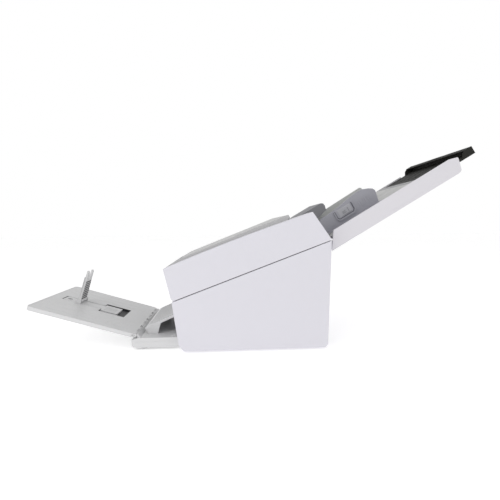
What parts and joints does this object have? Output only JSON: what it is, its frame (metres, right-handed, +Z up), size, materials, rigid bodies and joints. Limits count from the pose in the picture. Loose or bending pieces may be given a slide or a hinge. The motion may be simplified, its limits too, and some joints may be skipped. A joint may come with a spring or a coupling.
{
  "type": "sheet fed document scanner",
  "caption": "Desktop sheet fed document scanner with a sloping hinged upper unit, a raised feed hopper with side guides and a pull-out extension, and a fold-up exit tray with a stopper.",
  "frame": {"origin": "on the table, under the middle of the housing", "axes": "+Z up, front (exit tray) towards -Y, feed hopper towards +Y, +X to the right side seen with the front to the left"},
  "size_m": [0.31, 0.8409, 0.3753],
  "materials": {
    "cover_white": "fine spark texture, satin",
    "panel_grey": "fine spark texture, satin",
    "hopper_white": "satin moulded plastic",
    "support_grey": "satin moulded plastic",
    "hood_grey": "matt moulded plastic",
    "guide_grey": "satin moulded plastic",
    "extension_black": "matt moulded plastic with a light grain",
    "tray_grey": "satin moulded plastic",
    "inner_black": "matt black plastic",
    "key_grey": "smooth plastic",
    "key_pale": "smooth plastic",
    "window": "gloss",
    "rubber_dark": "ground rubber",
    "rubber_foot": "matt rubber",
    "steel": "zinc plated sheet",
    "ground_steel": "ground bar",
    "nylon": "natural nylon",
    "belt": "moulded belt",
    "board_green": "solder resist",
    "motor_can": "satin",
    "glass": "clear"
  },
  "bodies": {
    "base": {"base_tray": "cover_white", "front_cover": "cover_white", "rear_cover": "cover_white", "lower_left_cover": "cover_white", "lower_right_cover": "cover_white", "left_frame": "steel", "right_frame": "steel", "lower_paper_guide": "inner_black", "lower_scan_unit": "inner_black", "lower_scan_glass": "glass", "shaft_bushes": "nylon", "drive_motor": "motor_can", "drive_belts": "belt", "main_board": "board_green", "power_inlet": "inner_black", "data_socket": "steel", "rubber_feet": "rubber_foot", "cover_screws": "steel", "exit_chute": "tray_grey", "exit_base": "tray_grey"},
    "upper_unit": {"upper_left_cover": "cover_white", "upper_right_cover": "cover_white", "top_cover": "panel_grey", "entry_hood": "hood_grey", "upper_frame": "steel", "hinge_pins": "ground_steel", "upper_paper_guide": "inner_black", "upper_scan_unit": "inner_black", "upper_scan_glass": "glass", "display_window": "window"},
    "feed_drive": {"feed_shaft": "ground_steel", "feed_roller": "rubber_dark"},
    "transport_drive": {"transport_shaft": "ground_steel", "transport_rollers": "rubber_dark"},
    "second_drive": {"second_shaft": "ground_steel", "second_rollers": "rubber_dark"},
    "exit_drive": {"exit_shaft": "ground_steel", "exit_rollers": "rubber_dark"},
    "motor_drive": {"motor_pulley": "nylon"},
    "separation": {"separation_roller": "rubber_dark"},
    "transport_idler": {"transport_idlers": "nylon"},
    "second_idler": {"second_idlers": "nylon"},
    "exit_idler": {"exit_idlers": "nylon"},
    "release_lever": {"release_lever": "guide_grey"},
    "start_button": {"start_button": "key_pale"},
    "stop_button": {"stop_button": "key_grey"},
    "menu_keys": {"menu_keys": "key_grey"},
    "power_switch": {"power_switch": "inner_black"},
    "hopper": {"hopper_tray": "hopper_white", "paper_support": "support_grey", "hopper_pins": "ground_steel"},
    "left_side_guide": {"left_side_guide": "guide_grey"},
    "right_side_guide": {"right_side_guide": "guide_grey"},
    "guide_pinion": {"guide_pinion": "nylon"},
    "tray_extension": {"tray_extension": "extension_black"},
    "exit_plate": {"exit_plate": "tray_grey", "stopper_track": "inner_black", "tray_pin": "ground_steel"},
    "stopper_slider": {"stopper_slider": "tray_grey"},
    "stopper_flap": {"stopper_flap": "tray_grey"}
  },
  "joints": [
    {"name": "upper_open", "type": "hinge", "parent": "base", "child": "upper_unit", "pos_m": [0, -0.13195, 0.09935], "axis": [1, 0, 0], "range_deg": [0, 55]},
    {"name": "transport_spin", "type": "hinge", "parent": "base", "child": "transport_drive", "pos_m": [0, 0.06306, 0.15477], "axis": [1, 0, 0], "continuous": true},
    {"name": "feed_spin", "type": "hinge", "parent": "base", "child": "feed_drive", "pos_m": [0, 0.11509, 0.1698], "axis": [1, 0, 0], "continuous": true},
    {"name": "second_spin", "type": "hinge", "parent": "base", "child": "second_drive", "pos_m": [0, -0.04007, 0.11652], "axis": [1, 0, 0], "continuous": true},
    {"name": "exit_spin", "type": "hinge", "parent": "base", "child": "exit_drive", "pos_m": [0, -0.10007, 0.09426], "axis": [1, 0, 0], "continuous": true},
    {"name": "motor_spin", "type": "hinge", "parent": "base", "child": "motor_drive", "pos_m": [0, 0, 0.06], "axis": [1, 0, 0], "continuous": true},
    {"name": "separation_spin", "type": "hinge", "parent": "upper_unit", "child": "separation", "pos_m": [0, 0.10625, 0.19361], "axis": [1, 0, 0], "continuous": true},
    {"name": "transport_idler_spin", "type": "hinge", "parent": "upper_unit", "child": "transport_idler", "pos_m": [0, 0.05701, 0.17108], "axis": [1, 0, 0], "continuous": true},
    {"name": "second_idler_spin", "type": "hinge", "parent": "upper_unit", "child": "second_idler", "pos_m": [0, -0.04612, 0.13283], "axis": [1, 0, 0], "continuous": true},
    {"name": "exit_idler_spin", "type": "hinge", "parent": "upper_unit", "child": "exit_idler", "pos_m": [0, -0.10613, 0.11057], "axis": [1, 0, 0], "continuous": true},
    {"name": "lever_release", "type": "hinge", "parent": "upper_unit", "child": "release_lever", "pos_m": [0, 0.01499, 0.18408], "axis": [1, 0, 0], "range_deg": [0, 9], "stiffness_Nm_per_rad": 0.8, "springref_deg": -8.59},
    {"name": "start_press", "type": "slide", "parent": "upper_unit", "child": "start_button", "axis": [0, 0.4996, -0.8663], "range_m": [0, 0.0012], "stiffness_N_per_m": 300, "springref_m": -0.0005},
    {"name": "stop_press", "type": "slide", "parent": "upper_unit", "child": "stop_button", "axis": [0, 0.4996, -0.8663], "range_m": [0, 0.0012], "stiffness_N_per_m": 300, "springref_m": -0.0005},
    {"name": "menu_press", "type": "slide", "parent": "upper_unit", "child": "menu_keys", "axis": [0, 0.4996, -0.8663], "range_m": [0, 0.001], "stiffness_N_per_m": 300, "springref_m": -0.0005},
    {"name": "power_rock", "type": "hinge", "parent": "base", "child": "power_switch", "pos_m": [0.096, 0.14036, 0.04], "axis": [1, 0, 0], "range_deg": [-9, 6]},
    {"name": "hopper_fold", "type": "hinge", "parent": "base", "child": "hopper", "pos_m": [0, 0.167, 0.19201], "axis": [1, 0, 0], "range_deg": [0, 32]},
    {"name": "right_guide_slide", "type": "slide", "parent": "hopper", "child": "right_side_guide", "axis": [1, 0, 0], "range_m": [-0.033, 0.044]},
    {"name": "left_guide_slide", "type": "slide", "parent": "hopper", "child": "left_side_guide", "axis": [-1, 0, 0], "range_m": [-0.0335, 0.0445]},
    {"name": "pinion_turn", "type": "hinge", "parent": "hopper", "child": "guide_pinion", "pos_m": [0, 0.24278, 0.24486], "axis": [0, -0.509, 0.8607], "range_deg": [-255, 195]},
    {"name": "extension_slide", "type": "slide", "parent": "hopper", "child": "tray_extension", "axis": [0, 0.8607, 0.509], "range_m": [-0.018, 0.11]},
    {"name": "exit_fold", "type": "hinge", "parent": "base", "child": "exit_plate", "pos_m": [0, -0.208, 0.026], "axis": [-1, 0, 0], "range_deg": [0, 72]},
    {"name": "stopper_slide", "type": "slide", "parent": "exit_plate", "child": "stopper_slider", "axis": [0, -0.9583, 0.2857], "range_m": [-0.014, 0]},
    {"name": "stopper_fold", "type": "hinge", "parent": "stopper_slider", "child": "stopper_flap", "pos_m": [0, -0.34102, 0.07333], "axis": [-1, 0, 0], "range_deg": [0, 88]}
  ],
  "couplings": [
    {"joint": "feed_spin", "follows": "transport_spin", "ratio": 1},
    {"joint": "second_spin", "follows": "transport_spin", "ratio": 1},
    {"joint": "exit_spin", "follows": "transport_spin", "ratio": 1},
    {"joint": "motor_spin", "follows": "transport_spin", "ratio": 2},
    {"joint": "separation_spin", "follows": "transport_spin", "ratio": -1.2727},
    {"joint": "transport_idler_spin", "follows": "transport_spin", "ratio": -1.4286},
    {"joint": "second_idler_spin", "follows": "transport_spin", "ratio": -1.4286},
    {"joint": "exit_idler_spin", "follows": "transport_spin", "ratio": -1.4286},
    {"joint": "left_guide_slide", "follows": "right_guide_slide", "ratio": 1},
    {"joint": "pinion_turn", "follows": "right_guide_slide", "rad_per_m": -98.175}
  ]
}
